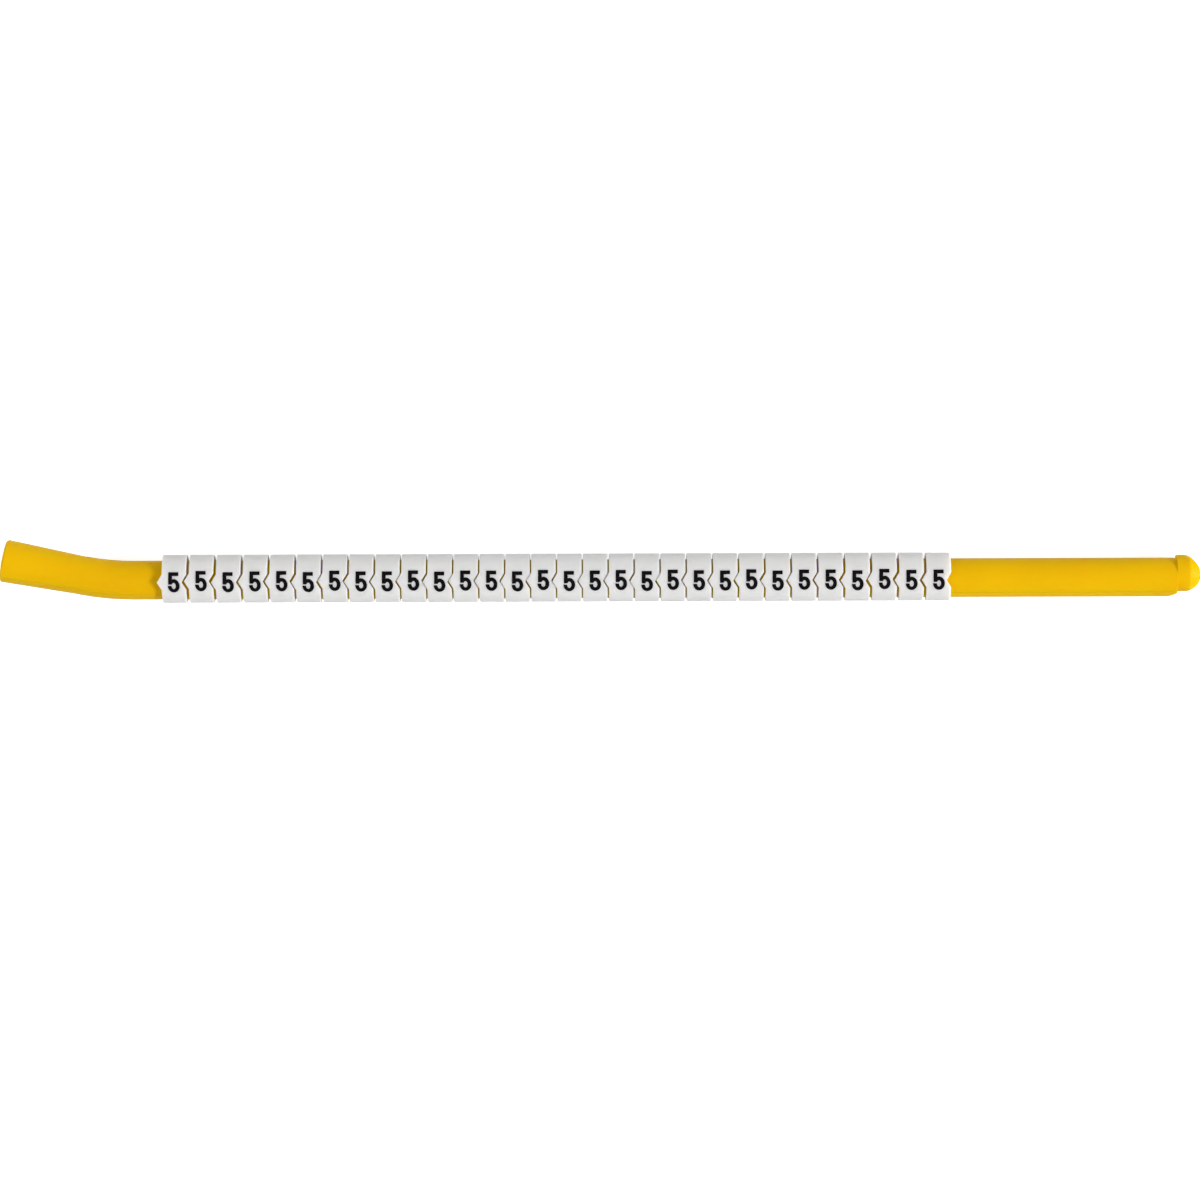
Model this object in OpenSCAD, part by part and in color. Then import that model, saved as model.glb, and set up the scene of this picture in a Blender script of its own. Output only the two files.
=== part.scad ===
// Cable markers on their loading wand.
// A row of white C-shaped clips rides on a slit yellow tube. The wire's end goes into the tube's open nose,
// and the clips slide off the tube and onto the wire.
// X runs along the wand towards the nose, +Z is up, and the bent handle turns towards +Y.
// The origin is on the tube's axis, at the shoulder behind the nose.

/* [Wand] */
// Outer diameter of the tube
wand_d = 5.9; // [5.7:0.1:7]
// Diameter of the channel that takes the wire
channel_d = 4; // [3:0.1:4.2]
// Width of the long slit that opens the channel to one side
slit_width = 0.06; // [0.04:0.02:2]
// Direction of that slit, in degrees from straight up towards -Y
slit_turn = 42; // [0:1:80]
// Bare length between the nose and the first clip to come off
tip_free = 34.3; // [10:0.1:80]
// Bare length between the last clip and the bend
rear_free = 4.5; // [2:0.1:30]

/* [Nose] */
// Length of the nose
nose_length = 3.5; // [3.4:0.1:8]
// How far the nose stands proud of the tube on +Y, which keeps the clips on
nose_rise = 0.45; // [0.15:0.05:0.6]
// How far the nose is set back from the tube on -Y, where the wire goes in
nose_relief = 0.75; // [0.3:0.05:0.8]
// Length over which the tube rounds down to the nose on -Y
shoulder_length = 2.2; // [0.9:0.1:3]
// Length of the bevel round the open end
bevel_length = 1.6; // [0.5:0.1:2.5]
// Depth of the bevel round the open end
bevel_depth = 0.55; // [0.2:0.05:0.7]

/* [Handle] */
// Angle between the handle and the straight run
bend_angle = 11; // [4:0.5:25]
// Radius of the bend, at the tube's axis
bend_radius = 40; // [20:1:80]
// Length of the straight handle past the bend
handle_length = 12.3; // [5:0.1:40]
// Growth of the tube's radius along the handle
handle_flare = 0.3; // [0:0.05:0.8]
// How much narrower the tube is pressed where it leaves the bend, on the radius
handle_neck = 0.05; // [0.02:0.01:0.15]
// Chamfer round the handle's cut end
handle_chamfer = 0.3; // [0.1:0.05:0.5]

/* [Markers] */
// Number of clips on the wand
marker_count = 30; // [2:1:50]
// Length of a clip along the wand, without its tooth
marker_length = 3.71; // [3:0.01:6]
// Wall of a clip
marker_wall = 0.5; // [0.4:0.05:1.2]
// Width of the clip's mouth, which faces down
marker_mouth = 2.6; // [1.6:0.1:3.4]
// Rounding of the clip's outer rims
rim_round = 0.15; // [0.1:0.05:0.6]
// Length of the tooth that keys a clip to the one behind it
tooth_length = 0.7; // [0.3:0.05:1.2]
// Width of the tooth at its root
tooth_width = 2.3; // [1.2:0.1:3]

/* [Fits] */
// Clearance between a clip's bore and the tube, on the radius
marker_clearance = 0.2; // [0.05:0.01:0.3]
// Share of that clearance by which the loose clips lie over towards +Y
marker_lean = 0.9; // [0:0.1:0.9]
// Gap between two clips in the middle of the row
gap_tight = 0.2; // [0.15:0.01:1]
// Growth of that gap towards both ends of the row
gap_spread = 0.23; // [0:0.01:1]
// Least room that is left beside a tooth in its notch
notch_room = 0.06; // [0.04:0.01:0.1]

/* [Hidden] */
$fn = 96;
// Overshoot of a cut past the face that it leaves
past = 1;
// Length by which the handle laps into the bend
handle_lap = 0.4;
// Share of the slit's width that is left where the handle is pressed
handle_slit = 0.8;
// Most of a clip's wall that the rounding of its rims may take
rim_share = 0.9;

wand_r = wand_d / 2;
channel_r = channel_d / 2;

// The nose is a smaller round, set off the tube's axis so that it rises on +Y and falls back on -Y
nose_r = wand_r + (nose_rise - nose_relief) / 2;
nose_offset = (nose_rise + nose_relief) / 2;
// Radius of the arc that is tangent to the tube's side and ends at the nose's side
shoulder_r = (shoulder_length * shoulder_length + nose_relief * nose_relief) / (2 * nose_relief);
handle_r = wand_r + handle_flare;

bore_r = wand_r + marker_clearance;
marker_r = bore_r + marker_wall;
marker_shift = marker_lean * marker_clearance;
rim_r = min(rim_round, marker_wall * rim_share);

// A tooth's slanting sides let a clip turn on the wand until they come near the notch
tooth_slope = 2 * tooth_length / tooth_width;
roll_play = asin((gap_tight - notch_room) / (2 * tooth_slope * marker_r));
// Turn from one clip to the next, in degrees, so that the small turns look unordered
roll_step = 137.5;

// Gap between clip i and the next one towards the nose
function gap(i) = gap_tight + gap_spread * pow(2 * i / marker_count - 1, 2);
// Front face of clip i along X, counted back from the clip nearest the nose
function marker_front(i) = i >= marker_count ? -tip_free : marker_front(i + 1) - gap(i) - marker_length;
function marker_roll(i) = roll_play * sin(roll_step * i);
function marker_name(i) = str("marker_", i < 10 ? "0" : "", i);

run_length = marker_length + rear_free - marker_front(1);

// Puts a drawing in the section plane, with its x towards -Y and its y up, and draws it out along -X
module along_back(length) {
    rotate([90, 0, -90]) linear_extrude(length) children();
}

// The channel and its slit, as cut out of a section whose radius is outer_r
module channel_outline(outer_r, inner_r = channel_r, slit = slit_width) {
    circle(inner_r);
    rotate(-slit_turn) translate([-slit / 2, 0]) square([slit, outer_r + past]);
}

module tube_section() {
    difference() {
        circle(wand_r);
        channel_outline(wand_r);
    }
}

// What the rounded shoulder takes off the tube, seen from above
module shoulder_cut() {
    difference() {
        translate([-shoulder_length, -wand_r - past]) square([shoulder_length + past, nose_relief + past]);
        translate([-shoulder_length, shoulder_r - wand_r]) circle(shoulder_r);
    }
}

module straight_run() {
    difference() {
        along_back(run_length) tube_section();
        linear_extrude(2 * wand_d, center = true) shoulder_cut();
    }
}

module bend() {
    translate([-run_length, bend_radius, 0])
        rotate_extrude(angle = bend_angle, start = -90 - bend_angle) translate([bend_radius, 0]) tube_section();
}

// The handle's frame: its children start at the end of the bend and run along -X
module past_bend() {
    translate([-run_length, bend_radius, 0]) rotate([0, 0, -bend_angle]) translate([0, -bend_radius, 0])
        children();
}

// The handle is pressed a little narrower where it leaves the bend, flares to its cut end, and laps into the bend
module handle() {
    past_bend() difference() {
        rotate([0, -90, 0]) rotate_extrude() polygon([
            [0, -handle_lap],
            [wand_r - handle_neck, -handle_lap],
            [handle_r, handle_length - handle_chamfer],
            [handle_r - handle_chamfer, handle_length],
            [0, handle_length]
        ]);
        translate([handle_lap + past, 0, 0]) along_back(handle_length + handle_lap + 2 * past)
            channel_outline(handle_r, channel_r - handle_neck, slit_width * handle_slit);
    }
}

// Outline of the nose from above, with a round end
module nose_plan() {
    round_at = nose_length - nose_r;
    translate([round_at, nose_offset]) circle(nose_r);
    translate([0, nose_offset - nose_r]) square([round_at, 2 * nose_r]);
}

module nose() {
    difference() {
        intersection() {
            translate([0, nose_offset, 0]) rotate([0, 90, 0]) rotate_extrude() polygon([
                [0, 0],
                [nose_r, 0],
                [nose_r, nose_length - bevel_length],
                [nose_r - bevel_depth, nose_length],
                [0, nose_length]
            ]);
            linear_extrude(2 * wand_d, center = true) nose_plan();
        }
        translate([nose_length + past, 0, 0]) along_back(nose_length + 2 * past) channel_outline(wand_r);
    }
}

module wand() {
    color("gold") {
        straight_run();
        bend();
        handle();
        nose();
    }
}

// Half section of a clip's ring, with its outer rims rounded
module ring_profile() {
    translate([bore_r, 0]) square([marker_wall - rim_r, marker_length]);
    translate([bore_r, rim_r]) square([marker_wall, marker_length - 2 * rim_r]);
    for (y = [rim_r, marker_length - rim_r]) translate([marker_r - rim_r, y]) circle(rim_r);
}

// The upright wedge of a tooth or notch, with its root at x = 0 and its tip towards -X
module tooth_wedge() {
    linear_extrude(marker_r + past) polygon([
        [past, -tooth_width / 2 - past / tooth_slope],
        [-tooth_length, 0],
        [past, tooth_width / 2 + past / tooth_slope]
    ]);
}

// The tooth: the part of a longer ring that lies in the wedge behind the clip's rear face
module tooth() {
    translate([-marker_length, 0, 0]) intersection() {
        translate([-tooth_length, 0, 0]) rotate([0, 90, 0]) difference() {
            cylinder(r = marker_r, h = tooth_length + marker_length / 2);
            translate([0, 0, -past]) cylinder(r = bore_r, h = tooth_length + marker_length);
        }
        tooth_wedge();
    }
}

// A clip at the origin, with its front face at x = 0
module marker_shape() {
    difference() {
        union() {
            rotate([0, -90, 0]) rotate_extrude() ring_profile();
            tooth();
        }
        tooth_wedge();
        translate([-marker_length - past, -marker_mouth / 2, -marker_r - past])
            cube([marker_length + 2 * past, marker_mouth, marker_r + past]);
    }
}

module marker(i) {
    color("whitesmoke") translate([marker_front(i), marker_shift, 0]) rotate([marker_roll(i), 0, 0])
        marker_shape();
}

wand();
for (i = [1 : marker_count]) marker(i);
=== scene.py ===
"""Looks of the cable marker: a slit yellow wand that carries a row of printed white clips."""

import math
from typing import NamedTuple

import bpy
from bpy.props import FloatProperty, FloatVectorProperty, IntProperty, PointerProperty
from mathutils import Matrix, Vector


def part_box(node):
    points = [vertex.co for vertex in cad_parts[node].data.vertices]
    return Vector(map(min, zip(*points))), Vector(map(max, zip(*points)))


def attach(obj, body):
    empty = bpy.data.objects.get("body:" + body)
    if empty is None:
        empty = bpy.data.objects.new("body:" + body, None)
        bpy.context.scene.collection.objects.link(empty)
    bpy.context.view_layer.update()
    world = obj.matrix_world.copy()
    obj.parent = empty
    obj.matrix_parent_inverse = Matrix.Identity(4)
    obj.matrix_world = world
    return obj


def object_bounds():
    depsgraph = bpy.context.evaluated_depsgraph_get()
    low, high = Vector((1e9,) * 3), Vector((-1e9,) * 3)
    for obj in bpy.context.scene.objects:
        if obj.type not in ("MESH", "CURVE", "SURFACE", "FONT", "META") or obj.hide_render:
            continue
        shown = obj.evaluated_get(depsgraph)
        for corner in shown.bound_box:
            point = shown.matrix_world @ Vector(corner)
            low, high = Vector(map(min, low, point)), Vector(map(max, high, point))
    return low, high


bl_info = {
    "name": "Cable marker looks",
    "version": (1, 0, 0),
    "blender": (4, 5, 0),
    "location": "3D View > Sidebar > Cable marker",
    "description": "Finishes a wand of wire marker clips, prints their figures and sets a studio round it",
    "category": "Object",
}

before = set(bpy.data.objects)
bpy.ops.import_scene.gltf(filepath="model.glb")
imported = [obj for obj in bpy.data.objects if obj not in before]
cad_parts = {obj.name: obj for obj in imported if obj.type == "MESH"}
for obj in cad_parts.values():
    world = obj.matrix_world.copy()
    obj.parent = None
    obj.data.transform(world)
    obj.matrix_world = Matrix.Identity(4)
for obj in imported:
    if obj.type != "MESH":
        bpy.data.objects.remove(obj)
CAD_LOW, CAD_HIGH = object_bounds()

MM = 0.001
WHITE_LIGHT = (1.0, 1.0, 1.0, 1.0)
WAND = "wand"
CLIPS = sorted(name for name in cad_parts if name.startswith("marker_"))
CLIP_ROW = "marker_row"

# Points this close to a clip's rearmost point belong to the tip of its tooth
TOOTH_TIP_DEPTH = 0.01 * MM

# How often the printed film is subdivided before it is bent
FILM_CUTS = 2

# Points of the film that lie closer than this merge
FILM_MERGE = 0.001 * MM

# Edges of the film that turn by more than this stay sharp
FILM_SHARP_ANGLE = math.radians(40.0)

# How far the floor reaches each way from the origin
FLOOR_REACH = 3.0


class Finish(NamedTuple):
    """The surface of one material.

    The scales are those of the noises that make its grain and clouds. Its roughness runs between two values.
    The inner light is the share of light that enters it, and the reach is how far red, green and blue go in
    it, in millimetres.
    """

    grain_scale: float
    cloud_scale: float
    roughness: tuple
    bump_depth: float
    bump_strength: float
    gloss: float
    inner_light: float = 0.0
    inner_reach: tuple = (1.0, 1.0, 1.0)


DRAWN_PLASTIC = Finish(
    grain_scale=4500.0,
    cloud_scale=60.0,
    roughness=(0.38, 0.50),
    bump_depth=0.02 * MM,
    bump_strength=0.35,
    gloss=0.06,
    inner_light=0.75,
    inner_reach=(0.4, 0.16, 0.04),
)
MOULDED_PLASTIC = Finish(
    grain_scale=6000.0,
    cloud_scale=250.0,
    roughness=(0.40, 0.55),
    bump_depth=0.015 * MM,
    bump_strength=0.3,
    gloss=0.25,
    inner_light=1.0,
    inner_reach=(1.2, 1.2, 1.2),
)
PRINTED_INK = Finish(
    grain_scale=9000.0,
    cloud_scale=1500.0,
    roughness=(0.45, 0.65),
    bump_depth=0.01 * MM,
    bump_strength=0.3,
    gloss=0.06,
)

# Values of a noise between which roughness, clouds and thin ink change
NOISE_SPAN = (0.3, 0.7)
CLOUD_SPAN = (0.35, 0.65)
THIN_INK_SPAN = (0.5, 0.75)
FULL_SPAN = (0.0, 1.0)

# Scale of the faint lines' noise across the wand, and its scale along the wand as a share of that
LINE_SCALE = 2500.0
LINE_ALONG = 0.02

# Height of the lines in the wand's bump, as a share of the grain's
LINE_HEIGHT = 0.6

# The wand's colour carries a painted highlight towards its open end, between these distances from it
HIGHLIGHT_START = 2.4 * MM
HIGHLIGHT_FULL = 0.6 * MM


def length(name, description, default):
    """A size that the sidebar shows as a length."""
    return FloatProperty(name=name, description=description, default=default, min=0.0, unit="LENGTH")


def amount(name, description, default):
    """A plain number that doesn't go below zero."""
    return FloatProperty(name=name, description=description, default=default, min=0.0)


def angle(name, description, degrees):
    """An angle that the sidebar shows in degrees."""
    return FloatProperty(name=name, description=description, default=math.radians(degrees), subtype="ANGLE")


def spot(name, description, default):
    """A place, counted from the object's middle."""
    return FloatVectorProperty(
        name=name, description=description, default=default, size=3, subtype="TRANSLATION"
    )


def colour(name, description, default):
    """A linear colour that the sidebar shows as a swatch."""
    return FloatVectorProperty(
        name=name, description=description, default=(*default, 1.0), size=4, min=0.0, max=1.0, subtype="COLOR"
    )


class FigureSizes(bpy.types.PropertyGroup):
    """Sizes of the figure that is printed on each clip"""

    height: length("Height", "Height of the figure", 3.17 * MM)
    width: length("Width", "Width of the figure at its bowl", 1.76 * MM)
    bar_width: length("Bar width", "Length of the bar at the top", 1.52 * MM)
    bar_stroke: length("Bar stroke", "Stroke of the bar at the top", 0.575 * MM)
    stem_inset: length("Stem inset", "How far the stem stands in from the bowl's left side", 0.06 * MM)
    stem_stroke: length("Stem stroke", "Stroke of the upright stem", 0.57 * MM)
    stem_height: length("Stem height", "Height of the stem with the bar", 1.87 * MM)
    bowl_height: length("Bowl height", "Height of the bowl", 2.12 * MM)
    bowl_stroke: length("Bowl stroke", "Stroke of the bowl", 0.56 * MM)
    bowl_end: angle("Bowl end", "Where the bowl's stroke ends, counted back from the right", -182.0)
    arc_steps: IntProperty(name="Arc steps", description="Straight steps along each arc", default=36, min=8)
    film: length("Film", "How far the ink stands on the clip", 0.02 * MM)
    seat: length("Seat", "How deep the ink reaches into the clip", 0.02 * MM)


class FinishColours(bpy.types.PropertyGroup):
    """Colours of the plastics, the ink and the floor"""

    wand: colour("Wand", "Yellow of the wand", (0.822, 0.50, 0.001))
    wand_cloud: colour("Wand cloud", "Deeper yellow of the faint clouds in the wand", (0.782, 0.46, 0.001))
    # The tip colour is a painted highlight on the nose end, standing in for light on its bevel
    wand_tip_highlight: colour("Wand tip", "Lighter yellow of the thin open end", (0.86, 0.565, 0.002))
    clip: colour("Clip", "White of the clips", (0.845, 0.84, 0.83))
    clip_cloud: colour("Clip cloud", "Duller white of the faint clouds in the clips", (0.81, 0.805, 0.79))
    ink: colour("Ink", "Black of the figures", (0.003, 0.0025, 0.0035))
    ink_thin: colour("Thin ink", "Grey where the ink is thin", (0.010, 0.009, 0.011))
    floor: colour("Floor", "Pale floor", (0.8, 0.8, 0.8))


class StudioSettings(bpy.types.PropertyGroup):
    """Camera and lights"""

    lens: FloatProperty(
        name="Lens",
        description="Focal length in millimetres",
        default=150.0,
        min=50.0,
        max=400.0,
        subtype="DISTANCE_CAMERA",
    )
    picture_width: length("Picture width", "Width of the picture at the wand's axis", 181.9 * MM)
    aim_along: FloatProperty(
        name="Aim along",
        description="Place of the picture's middle along the wand",
        default=-87.3 * MM,
        unit="LENGTH",
    )
    aim_below: length("Aim below", "How far the picture's middle lies below the wand's axis", 3.22 * MM)
    tilt: angle("Tilt", "Turn of the camera off straight down, towards the handle's side", 8.0)
    roll: angle("Roll", "Rise of the wand towards the right of the picture", 0.18)
    sky: amount("Sky", "Strength of the even light", 0.36)
    glow: amount("Floor glow", "Light that lifts the floor's shadows", 0.7)
    key: amount("Key", "Power of the lamp past the nose, in watts", 45.0)
    key_size: length("Key size", "Side of the lamp past the nose", 0.5)
    key_place: spot("Key place", "Place of the lamp past the nose", (1.8, -0.08, 1.1))
    fill: amount("Fill", "Power of the lamp past the handle, in watts", 3.4)
    fill_size: length("Fill size", "Side of the lamp past the handle", 0.6)
    fill_place: spot("Fill place", "Place of the lamp past the handle", (-0.75, 0.0, 0.6))


def feed(tree, socket, value):
    """Links a socket to another one, or sets its plain value."""
    if isinstance(value, bpy.types.NodeSocket):
        tree.links.new(value, socket)
    else:
        socket.default_value = value


def add_node(tree, kind, inputs=None, **settings):
    """Adds a node, sets its options, and fills its inputs with values or links."""
    made = tree.nodes.new(kind)
    for name, value in settings.items():
        setattr(made, name, value)
    for name, value in (inputs or {}).items():
        feed(tree, made.inputs[name], value)
    return made


def add_maths(tree, operation, *values):
    """Adds a maths node and gives its result."""
    made = add_node(tree, "ShaderNodeMath", operation=operation)
    for socket, value in zip(made.inputs, values):
        feed(tree, socket, value)
    return made.outputs[0]


def mix_colours(tree, factor, first, second):
    """Mixes two colours by a mask."""
    mix = add_node(tree, "ShaderNodeMix", data_type="RGBA")
    inputs = {socket.identifier: socket for socket in mix.inputs}
    feed(tree, inputs["Factor_Float"], factor)
    feed(tree, inputs["A_Color"], first)
    feed(tree, inputs["B_Color"], second)
    return next(socket for socket in mix.outputs if socket.identifier == "Result_Color")


def spread_values(tree, value, span, results):
    """Maps a value from one range to another, and stops at its ends."""
    made = add_node(tree, "ShaderNodeMapRange", {
        "Value": value,
        "From Min": span[0],
        "From Max": span[1],
        "To Min": results[0],
        "To Max": results[1],
    })
    return made.outputs["Result"]


def new_shader_group(name, inputs, outputs):
    """A shader node group with named number inputs beside its place input, and named number outputs."""
    tree = bpy.data.node_groups.new(name, "ShaderNodeTree")
    tree.interface.new_socket("Place", in_out="INPUT", socket_type="NodeSocketVector")
    for socket in inputs:
        tree.interface.new_socket(socket, in_out="INPUT", socket_type="NodeSocketFloat")
    for socket in outputs:
        tree.interface.new_socket(socket, in_out="OUTPUT", socket_type="NodeSocketFloat")
    return tree, tree.nodes.new("NodeGroupInput").outputs, tree.nodes.new("NodeGroupOutput").inputs


def moulded_skin():
    """The skin that all three finishes share: fine grain, and wide faint clouds."""
    if "moulded_skin" in bpy.data.node_groups:
        return bpy.data.node_groups["moulded_skin"]
    tree, given, result = new_shader_group(
        "moulded_skin", ["Grain scale", "Cloud scale"], ["Grain", "Clouds"]
    )
    grain = add_node(
        tree, "ShaderNodeTexNoise",
        {"Vector": given["Place"], "Scale": given["Grain scale"], "Detail": 3.0, "Roughness": 0.6},
    )
    clouds = add_node(
        tree, "ShaderNodeTexNoise",
        {"Vector": given["Place"], "Scale": given["Cloud scale"], "Detail": 2.0, "Roughness": 0.5},
    )
    tree.links.new(grain.outputs["Fac"], result["Grain"])
    tree.links.new(spread_values(tree, clouds.outputs["Fac"], CLOUD_SPAN, FULL_SPAN), result["Clouds"])
    return tree


def new_material(name, finish):
    """A node material with its finish set. Gives its tree, shader, object coordinates and skin too."""
    material = bpy.data.materials.new(name)
    material.use_nodes = True
    tree = material.node_tree
    shader = tree.nodes["Principled BSDF"]
    shader.inputs["Specular IOR Level"].default_value = finish.gloss
    shader.inputs["Subsurface Weight"].default_value = finish.inner_light
    shader.inputs["Subsurface Radius"].default_value = finish.inner_reach
    shader.inputs["Subsurface Scale"].default_value = MM
    place = tree.nodes.new("ShaderNodeTexCoord").outputs["Object"]
    skin = add_node(tree, "ShaderNodeGroup", node_tree=moulded_skin())
    feed(tree, skin.inputs["Place"], place)
    feed(tree, skin.inputs["Grain scale"], finish.grain_scale)
    feed(tree, skin.inputs["Cloud scale"], finish.cloud_scale)
    return material, tree, shader, place, skin.outputs


def add_bump(tree, shader, height, finish):
    """Raises the surface's normal by a height."""
    bump = add_node(
        tree, "ShaderNodeBump",
        {"Height": height, "Distance": finish.bump_depth, "Strength": finish.bump_strength},
    )
    tree.links.new(bump.outputs["Normal"], shader.inputs["Normal"])


def drawn_yellow(colours):
    """Satin yellow plastic of the wand: faint lines along it, clouds in its colour, and a painted highlight
    towards its open end.
    """
    finish = DRAWN_PLASTIC
    material, tree, shader, place, skin = new_material("drawn_yellow", finish)
    along = add_node(tree, "ShaderNodeMapping", {"Vector": place, "Scale": (LINE_ALONG, 1.0, 1.0)})
    lines = add_node(
        tree, "ShaderNodeTexNoise", {"Vector": along.outputs["Vector"], "Scale": LINE_SCALE, "Detail": 2.0}
    ).outputs["Fac"]
    parts = add_node(tree, "ShaderNodeSeparateXYZ", {"Vector": place})
    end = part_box(WAND)[1].x
    # Painted highlight: the colour lightens towards the open end, where light falls on the nose's bevel
    painted_highlight = spread_values(tree, parts.outputs["X"], (end - HIGHLIGHT_START, end - HIGHLIGHT_FULL), FULL_SPAN)
    clouded = mix_colours(tree, skin["Clouds"], colours.wand, colours.wand_cloud)
    with_highlight = mix_colours(tree, painted_highlight, clouded, colours.wand_tip_highlight)
    tree.links.new(with_highlight, shader.inputs["Base Color"])
    roughness = spread_values(tree, lines, NOISE_SPAN, finish.roughness)
    tree.links.new(roughness, shader.inputs["Roughness"])
    add_bump(tree, shader, add_maths(tree, "MULTIPLY_ADD", lines, LINE_HEIGHT, skin["Grain"]), finish)
    return material


def moulded_white(colours):
    """Satin white plastic of the clips: fine grain and faint clouds."""
    finish = MOULDED_PLASTIC
    material, tree, shader, _, skin = new_material("moulded_white", finish)
    clouded = mix_colours(tree, skin["Clouds"], colours.clip, colours.clip_cloud)
    tree.links.new(clouded, shader.inputs["Base Color"])
    roughness = spread_values(tree, skin["Grain"], NOISE_SPAN, finish.roughness)
    tree.links.new(roughness, shader.inputs["Roughness"])
    add_bump(tree, shader, skin["Grain"], finish)
    return material


def stamped_ink(colours):
    """Matt black ink of the figures, a little thin in spots."""
    finish = PRINTED_INK
    material, tree, shader, _, skin = new_material("stamped_ink", finish)
    thin = spread_values(tree, skin["Grain"], THIN_INK_SPAN, FULL_SPAN)
    tree.links.new(mix_colours(tree, thin, colours.ink, colours.ink_thin), shader.inputs["Base Color"])
    roughness = spread_values(tree, skin["Clouds"], FULL_SPAN, finish.roughness)
    tree.links.new(roughness, shader.inputs["Roughness"])
    add_bump(tree, shader, skin["Grain"], finish)
    return material


def set_only_material(piece, material):
    """Gives a piece one material for all its faces."""
    piece.data.materials.clear()
    piece.data.materials.append(material)


def clip_place(name):
    """The middle of a clip's body on the clip's own axis, and how far the clip is turned about that axis."""
    points = [vertex.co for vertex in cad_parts[name].data.vertices]
    low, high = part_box(name)
    rear = min(point.x for point in points if point.z < 0.0)
    tooth = [point for point in points if point.x - low.x < TOOTH_TIP_DEPTH]
    tip = sum(tooth, Vector()) / len(tooth)
    aside = (low.y + high.y) / 2
    return Vector(((rear + high.x) / 2, aside, 0.0)), math.atan2(aside - tip.y, tip.z)


def oval_arc(centre, radii, start, end, steps):
    """Points along part of an oval, both ends included."""
    turns = (start + (end - start) * step / steps for step in range(steps + 1))
    return [(centre.x + radii.x * math.cos(turn), centre.y + radii.y * math.sin(turn)) for turn in turns]


def figure_points(sizes):
    """Outline of the figure five about its own middle: a bar, a stem, and a bowl that starts at the stem."""
    top = sizes.height / 2
    stem_left = sizes.stem_inset - sizes.width / 2
    stem_right = stem_left + sizes.stem_stroke
    bar_right = stem_left + sizes.bar_width
    bar_foot = top - sizes.bar_stroke
    stem_foot = top - sizes.stem_height
    outer = Vector((sizes.width, sizes.bowl_height)) / 2
    inner = outer - Vector((sizes.bowl_stroke, sizes.bowl_stroke))
    bowl = Vector((0.0, outer.y - top))
    outer_start = math.acos(stem_right / outer.x)
    inner_end = math.pi - math.asin((stem_foot - bowl.y) / inner.y)
    return [
        (stem_left, top),
        (bar_right, top),
        (bar_right, bar_foot),
        (stem_right, bar_foot),
        *oval_arc(bowl, outer, outer_start, sizes.bowl_end, sizes.arc_steps),
        *oval_arc(bowl, inner, sizes.bowl_end, inner_end, sizes.arc_steps),
        (stem_left, stem_foot),
    ]


def figure_outline(sizes):
    """The figure's outline as a flat closed curve."""
    curve = bpy.data.curves.new("figure_outline", "CURVE")
    points = figure_points(sizes)
    spline = curve.splines.new("POLY")
    spline.points.add(len(points) - 1)
    for point, (x, y) in zip(spline.points, points):
        point.co = (x, y, 0.0, 1.0)
    spline.use_cyclic_u = True
    outline = bpy.data.objects.new("figure_outline", curve)
    bpy.context.scene.collection.objects.link(outline)
    return outline


def figure_places():
    """One point on the axis of each clip, with the clip's turn."""
    places = [clip_place(name) for name in CLIPS]
    mesh = bpy.data.meshes.new("figures")
    mesh.from_pydata([middle for middle, _ in places], [], [])
    turns = mesh.attributes.new("turn", "FLOAT", "POINT")
    turns.data.foreach_set("value", [turn for _, turn in places])
    figures = bpy.data.objects.new("figures", mesh)
    bpy.context.scene.collection.objects.link(figures)
    return figures


def wrapped_place(tree, radius, seat):
    """Bends a flat drawing round a clip's axis, with its height above the clip kept."""
    drawn = tree.nodes.new("GeometryNodeInputPosition").outputs["Position"]
    flat = add_node(tree, "ShaderNodeSeparateXYZ", {"Vector": drawn})
    turn = add_maths(tree, "DIVIDE", flat.outputs["Y"], radius)
    reach = add_maths(tree, "ADD", add_maths(tree, "SUBTRACT", radius, seat), flat.outputs["Z"])
    aside = add_maths(tree, "MULTIPLY", reach, add_maths(tree, "SINE", turn))
    above = add_maths(tree, "MULTIPLY", reach, add_maths(tree, "COSINE", turn))
    bent = add_node(tree, "ShaderNodeCombineXYZ", {"X": flat.outputs["X"], "Y": aside, "Z": above})
    return bent.outputs["Vector"]


def closed_film(tree, outline, thickness):
    """Fills an outline and thickens it to a closed film."""
    drawn = add_node(tree, "GeometryNodeObjectInfo", {"Object": outline}).outputs["Geometry"]
    filled = add_node(tree, "GeometryNodeFillCurve", {"Curve": drawn}).outputs["Mesh"]
    fine = add_node(tree, "GeometryNodeSubdivideMesh", {"Mesh": filled, "Level": FILM_CUTS}).outputs["Mesh"]
    raised = add_node(
        tree, "GeometryNodeExtrudeMesh", {"Mesh": fine, "Offset Scale": thickness, "Individual": False}
    ).outputs["Mesh"]
    back = add_node(tree, "GeometryNodeFlipFaces", {"Mesh": fine}).outputs["Mesh"]
    both = tree.nodes.new("GeometryNodeJoinGeometry")
    tree.links.new(raised, both.inputs["Geometry"])
    tree.links.new(back, both.inputs["Geometry"])
    closed = add_node(
        tree, "GeometryNodeMergeByDistance", {"Geometry": both.outputs["Geometry"], "Distance": FILM_MERGE}
    )
    return closed.outputs["Geometry"]


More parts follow.
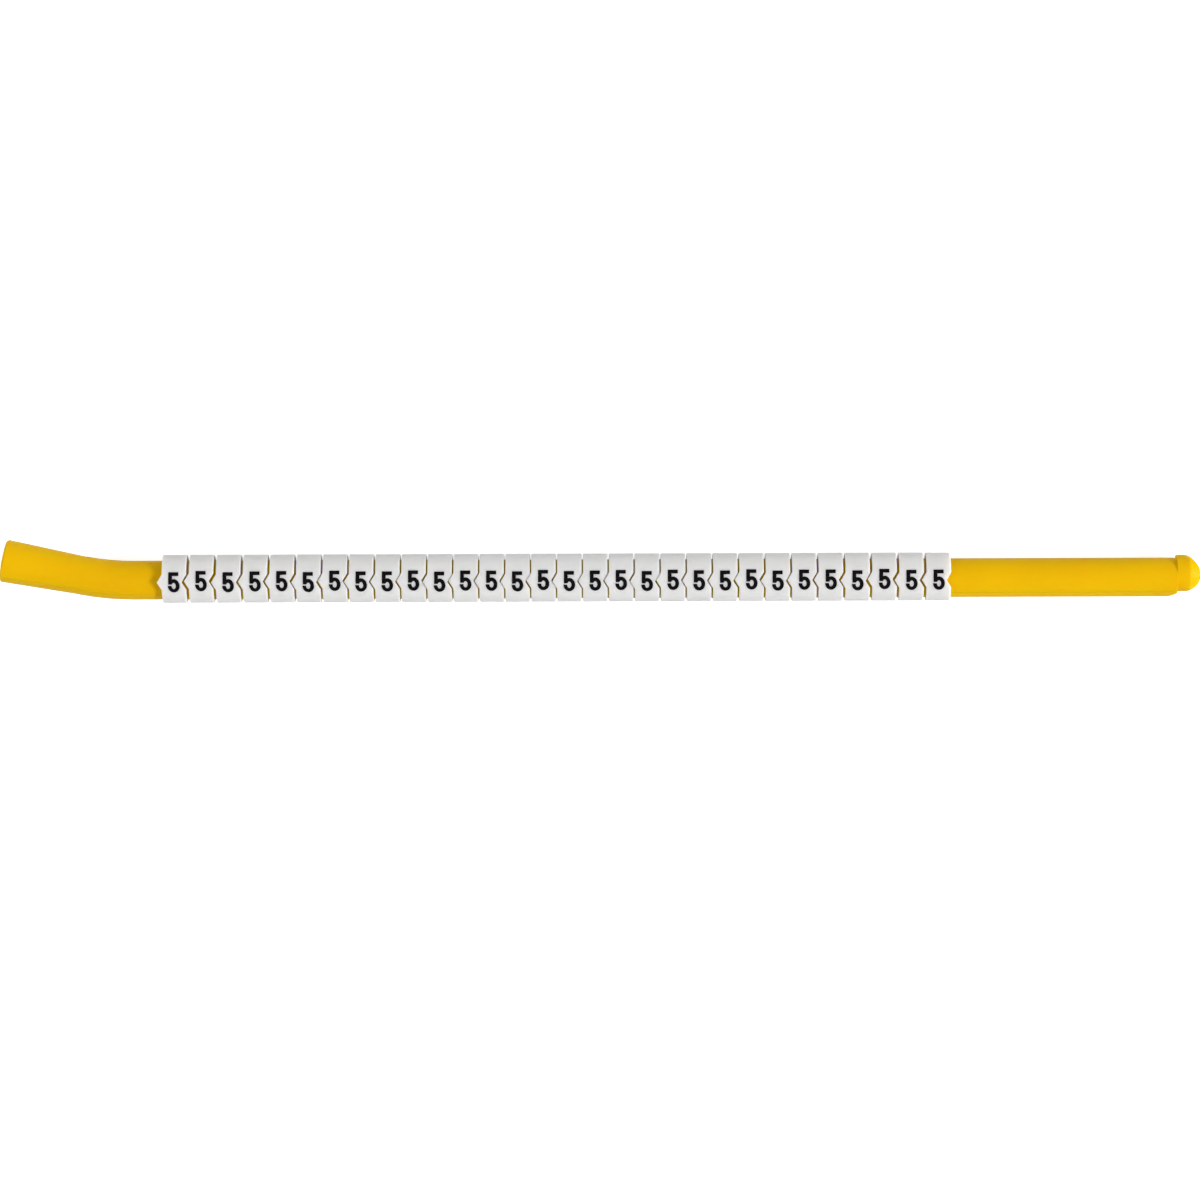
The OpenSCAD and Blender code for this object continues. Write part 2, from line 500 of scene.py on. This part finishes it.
def figure_tree():
    """Geometry nodes that fill the outline, make it a thin film on a clip, and repeat it at each clip."""
    tree = bpy.data.node_groups.new("printed_figures", "GeometryNodeTree")
    for name, kind in (
        ("Places", "NodeSocketGeometry"),
        ("Outline", "NodeSocketObject"),
        ("Clip radius", "NodeSocketFloat"),
        ("Film", "NodeSocketFloat"),
        ("Seat", "NodeSocketFloat"),
        ("Ink", "NodeSocketMaterial"),
    ):
        tree.interface.new_socket(name, in_out="INPUT", socket_type=kind)
    tree.interface.new_socket("Figures", in_out="OUTPUT", socket_type="NodeSocketGeometry")
    given = tree.nodes.new("NodeGroupInput").outputs
    result = tree.nodes.new("NodeGroupOutput").inputs

    film = closed_film(tree, given["Outline"], add_maths(tree, "ADD", given["Film"], given["Seat"]))
    wrapped = add_node(
        tree, "GeometryNodeSetPosition",
        {"Geometry": film, "Position": wrapped_place(tree, given["Clip radius"], given["Seat"])},
    ).outputs["Geometry"]
    turn = add_node(tree, "GeometryNodeInputNamedAttribute", {"Name": "turn"}, data_type="FLOAT")
    about = add_node(
        tree, "FunctionNodeAxisAngleToRotation",
        {"Axis": (1.0, 0.0, 0.0), "Angle": turn.outputs["Attribute"]},
    )
    repeated = add_node(
        tree, "GeometryNodeInstanceOnPoints",
        {"Points": given["Places"], "Instance": wrapped, "Rotation": about.outputs["Rotation"]},
    ).outputs["Instances"]
    real = add_node(tree, "GeometryNodeRealizeInstances", {"Geometry": repeated}).outputs["Geometry"]
    painted = add_node(tree, "GeometryNodeSetMaterial", {"Geometry": real, "Material": given["Ink"]})
    tree.links.new(painted.outputs["Geometry"], result["Figures"])
    return tree


def run_tree(piece, tree, values):
    """Runs a geometry node tree on a piece and leaves its result as a plain mesh."""
    modifier = piece.modifiers.new(tree.name, "NODES")
    modifier.node_group = tree
    for socket in tree.interface.items_tree:
        if socket.in_out == "INPUT" and socket.name in values:
            modifier[socket.identifier] = values[socket.name]
    piece.update_tag()
    depsgraph = bpy.context.evaluated_depsgraph_get()
    mesh = bpy.data.meshes.new_from_object(piece.evaluated_get(depsgraph), depsgraph=depsgraph)
    piece.modifiers.clear()
    old = piece.data
    piece.data = mesh
    bpy.data.meshes.remove(old)
    if not mesh.polygons:
        raise RuntimeError(f"{tree.name} made no faces on {piece.name}")


class CABLEMARKER_OT_finish_wand(bpy.types.Operator):
    """Gives the wand its drawn yellow plastic"""

    bl_idname = "cable_marker.finish_wand"
    bl_label = "Finish wand"

    def execute(self, context):
        set_only_material(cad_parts[WAND], drawn_yellow(context.scene.cable_marker_colours))
        return {"FINISHED"}


class CABLEMARKER_OT_finish_clips(bpy.types.Operator):
    """Gives the clips their moulded white plastic"""

    bl_idname = "cable_marker.finish_clips"
    bl_label = "Finish clips"

    def execute(self, context):
        if not CLIPS:
            raise RuntimeError("the frame has no clips")
        white = moulded_white(context.scene.cable_marker_colours)
        for name in CLIPS:
            set_only_material(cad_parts[name], white)
        return {"FINISHED"}


class CABLEMARKER_OT_print_figures(bpy.types.Operator):
    """Prints the figure on top of each clip"""

    bl_idname = "cable_marker.print_figures"
    bl_label = "Print figures"

    def execute(self, context):
        sizes = context.scene.cable_marker_figure
        outline = figure_outline(sizes)
        figures = figure_places()
        run_tree(figures, figure_tree(), {
            "Outline": outline,
            "Clip radius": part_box(CLIPS[0])[1].z,
            "Film": sizes.film,
            "Seat": sizes.seat,
            "Ink": stamped_ink(context.scene.cable_marker_colours),
        })
        bpy.data.objects.remove(outline)
        figures.data.set_sharp_from_angle(angle=FILM_SHARP_ANGLE)
        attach(figures, CLIP_ROW)
        return {"FINISHED"}


def pale_floor(colours, glow):
    """Matt pale floor. Its glow lifts the shadows that the camera sees, and lights nothing else."""
    material = bpy.data.materials.new("pale_floor")
    material.use_nodes = True
    tree = material.node_tree
    inputs = tree.nodes["Principled BSDF"].inputs
    seen = tree.nodes.new("ShaderNodeLightPath").outputs["Is Camera Ray"]
    inputs["Base Color"].default_value = colours.floor
    inputs["Roughness"].default_value = 0.9
    inputs["Specular IOR Level"].default_value = 0.1
    inputs["Emission Color"].default_value = WHITE_LIGHT
    tree.links.new(add_maths(tree, "MULTIPLY", seen, glow), inputs["Emission Strength"])
    return material


def add_floor(material):
    """A plain floor that the clips' lips rest on."""
    mesh = bpy.data.meshes.new("floor")
    ways = ((-1, -1), (1, -1), (1, 1), (-1, 1))
    mesh.from_pydata([(x * FLOOR_REACH, y * FLOOR_REACH, CAD_LOW.z) for x, y in ways], [], [(0, 1, 2, 3)])
    floor = bpy.data.objects.new("floor", mesh)
    bpy.context.scene.collection.objects.link(floor)
    set_only_material(floor, material)


def add_lamp(name, place, aim, size, power):
    """A square soft lamp that looks at a point."""
    light = bpy.data.lights.new(name, "AREA")
    light.energy = power
    light.size = size
    lamp = bpy.data.objects.new(name, light)
    lamp.location = place
    lamp.rotation_euler = (aim - place).to_track_quat("-Z", "Y").to_euler()
    bpy.context.scene.collection.objects.link(lamp)


def add_sky(strength):
    """Even light from all round."""
    world = bpy.data.worlds.new("studio")
    world.use_nodes = True
    background = world.node_tree.nodes["Background"]
    background.inputs["Color"].default_value = WHITE_LIGHT
    background.inputs["Strength"].default_value = strength
    bpy.context.scene.world = world


def add_camera(studio):
    """A long lens that looks down on the wand from above, a little from the handle's side."""
    camera_data = bpy.data.cameras.new("camera")
    camera_data.lens = studio.lens
    camera = bpy.data.objects.new("camera", camera_data)
    bpy.context.scene.collection.objects.link(camera)
    back = Vector((0.0, math.sin(studio.tilt), math.cos(studio.tilt)))
    level = Vector((1.0, 0.0, 0.0))
    upward = back.cross(level)
    right = level * math.cos(studio.roll) - upward * math.sin(studio.roll)
    up = level * math.sin(studio.roll) + upward * math.cos(studio.roll)
    aim = Vector((studio.aim_along, 0.0, 0.0)) - up * studio.aim_below
    away = studio.picture_width * studio.lens / camera_data.sensor_width
    turned = Matrix((right, up, back)).transposed().to_4x4()
    camera.matrix_world = Matrix.Translation(aim + back * away) @ turned
    bpy.context.scene.camera = camera


class CABLEMARKER_OT_set_studio(bpy.types.Operator):
    """Sets the pale floor, the soft light and the camera"""

    bl_idname = "cable_marker.set_studio"
    bl_label = "Set studio"

    def execute(self, context):
        studio = context.scene.cable_marker_studio
        middle = (CAD_LOW + CAD_HIGH) / 2
        add_floor(pale_floor(context.scene.cable_marker_colours, studio.glow))
        add_sky(studio.sky)
        add_lamp("key", middle + Vector(studio.key_place), middle, studio.key_size, studio.key)
        add_lamp("fill", middle + Vector(studio.fill_place), middle, studio.fill_size, studio.fill)
        add_camera(studio)
        context.scene.view_settings.view_transform = "Standard"
        return {"FINISHED"}


class CABLEMARKER_PT_sidebar(bpy.types.Panel):
    """Lists the steps and the sizes of the cable marker's looks"""

    bl_idname = "CABLEMARKER_PT_sidebar"
    bl_label = "Cable marker"
    bl_space_type = "VIEW_3D"
    bl_region_type = "UI"
    bl_category = "Cable marker"

    def draw(self, context):
        for step in STEPS:
            self.layout.operator(step.bl_idname)
        for group in SETTINGS:
            box = self.layout.box()
            settings = getattr(context.scene, group)
            for name in settings.__annotations__:
                box.prop(settings, name)


STEPS = (
    CABLEMARKER_OT_finish_wand,
    CABLEMARKER_OT_finish_clips,
    CABLEMARKER_OT_print_figures,
    CABLEMARKER_OT_set_studio,
)
SETTINGS = {
    "cable_marker_figure": FigureSizes,
    "cable_marker_colours": FinishColours,
    "cable_marker_studio": StudioSettings,
}
CLASSES = (*SETTINGS.values(), *STEPS, CABLEMARKER_PT_sidebar)


def register():
    """Registers the classes and hangs the settings on the scene."""
    for kind in CLASSES:
        bpy.utils.register_class(kind)
    for name, kind in SETTINGS.items():
        setattr(bpy.types.Scene, name, PointerProperty(type=kind))


def unregister():
    """Takes the settings off the scene and unregisters the classes."""
    for name in SETTINGS:
        delattr(bpy.types.Scene, name)
    for kind in reversed(CLASSES):
        bpy.utils.unregister_class(kind)


def main():
    """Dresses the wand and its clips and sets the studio."""
    register()
    bpy.ops.cable_marker.finish_wand()
    bpy.ops.cable_marker.finish_clips()
    bpy.ops.cable_marker.print_figures()
    bpy.ops.cable_marker.set_studio()


if __name__ == "__main__":
    main()
